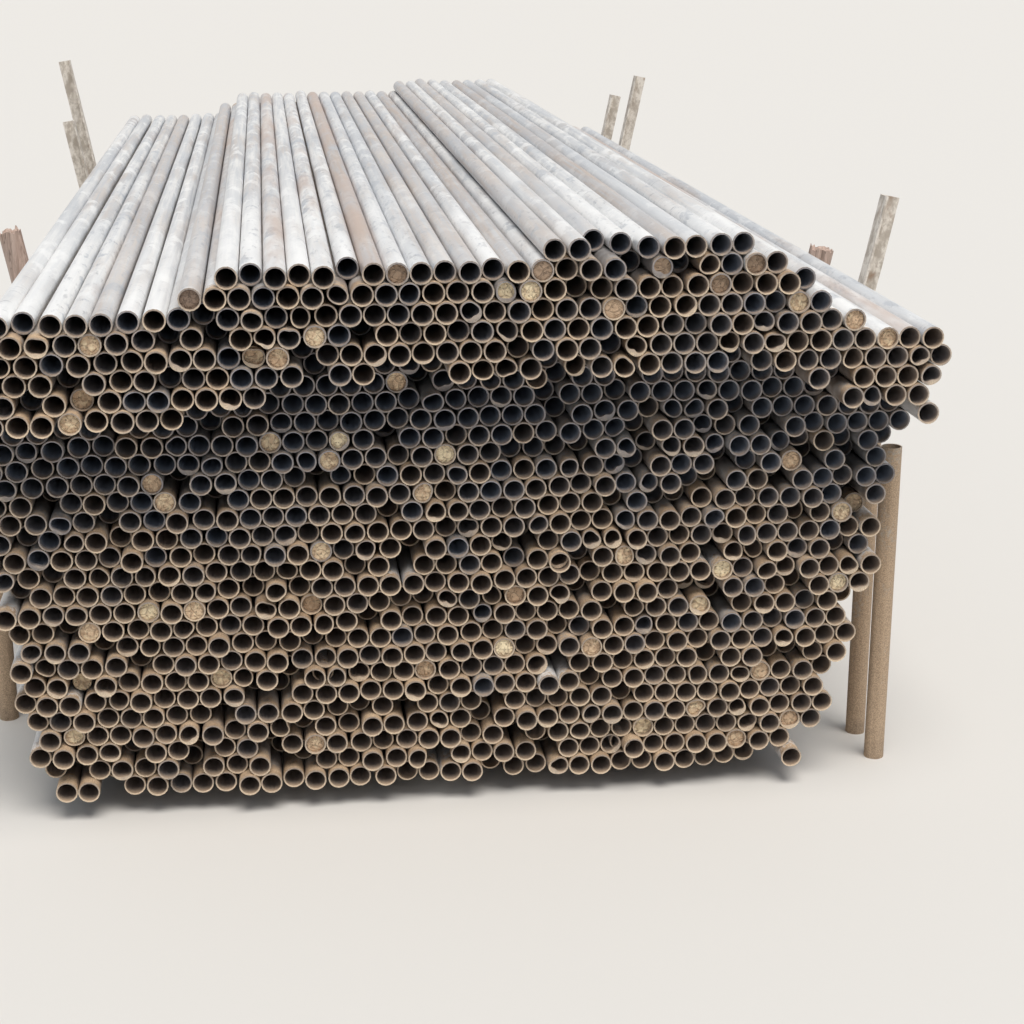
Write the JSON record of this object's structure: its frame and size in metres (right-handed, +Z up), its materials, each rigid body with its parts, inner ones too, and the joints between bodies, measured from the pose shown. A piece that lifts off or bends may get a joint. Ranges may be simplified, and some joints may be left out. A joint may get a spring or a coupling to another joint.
{
  "type": "stack of steel tubes",
  "caption": "Yard stack of long round steel tubes in nested layers, some ends plugged with dried mud, on timber bearers between posts and leaning angle stakes.",
  "frame": {"origin": "middle of the stack's box, at floor level", "axes": "+Y along the tubes from the near face to the far one, +X to the right across the near face, +Z up"},
  "size_m": [2.4362, 4.8164, 1.405],
  "materials": {
    "galvanised_tube": "weathered galvanised steel with mud and rust on the rims",
    "dried_mud": "cracked dry mud",
    "bearer_timber": "sawn, weathered",
    "muddy_post": "steel tube coated in dried mud",
    "weathered_angle": "mottled, weathered steel",
    "stump_timber": "split, weathered"
  },
  "bodies": {
    "root": {"bearer_1": "bearer_timber", "bearer_2": "bearer_timber", "bearer_3": "bearer_timber", "mud_plugs": "dried_mud", "post_left": "muddy_post", "post_right_front": "muddy_post", "post_right_second": "muddy_post", "stake_left_far": "weathered_angle", "stake_left_mid": "weathered_angle", "stake_right_end": "weathered_angle", "stake_right_far": "weathered_angle", "stake_right_near": "weathered_angle", "stump_left": "stump_timber", "stump_right": "stump_timber", "tube_layer_01": "galvanised_tube", "tube_layer_02": "galvanised_tube", "tube_layer_03": "galvanised_tube", "tube_layer_04": "galvanised_tube", "tube_layer_05": "galvanised_tube", "tube_layer_06": "galvanised_tube", "tube_layer_07": "galvanised_tube", "tube_layer_08": "galvanised_tube", "tube_layer_09": "galvanised_tube", "tube_layer_10": "galvanised_tube", "tube_layer_11": "galvanised_tube", "tube_layer_12": "galvanised_tube", "tube_layer_13": "galvanised_tube", "tube_layer_14": "galvanised_tube", "tube_layer_15": "galvanised_tube", "tube_layer_16": "galvanised_tube", "tube_layer_17": "galvanised_tube", "tube_layer_18": "galvanised_tube", "tube_layer_19": "galvanised_tube", "tube_layer_20": "galvanised_tube", "tube_layer_21": "galvanised_tube", "tube_layer_22": "galvanised_tube", "tube_layer_23": "galvanised_tube", "tube_layer_24": "galvanised_tube", "tube_layer_25": "galvanised_tube", "tube_layer_26": "galvanised_tube", "tube_layer_27": "galvanised_tube", "tube_layer_28": "galvanised_tube", "tube_layer_29": "galvanised_tube", "tube_layer_30": "galvanised_tube"}
  },
  "joints": []
}
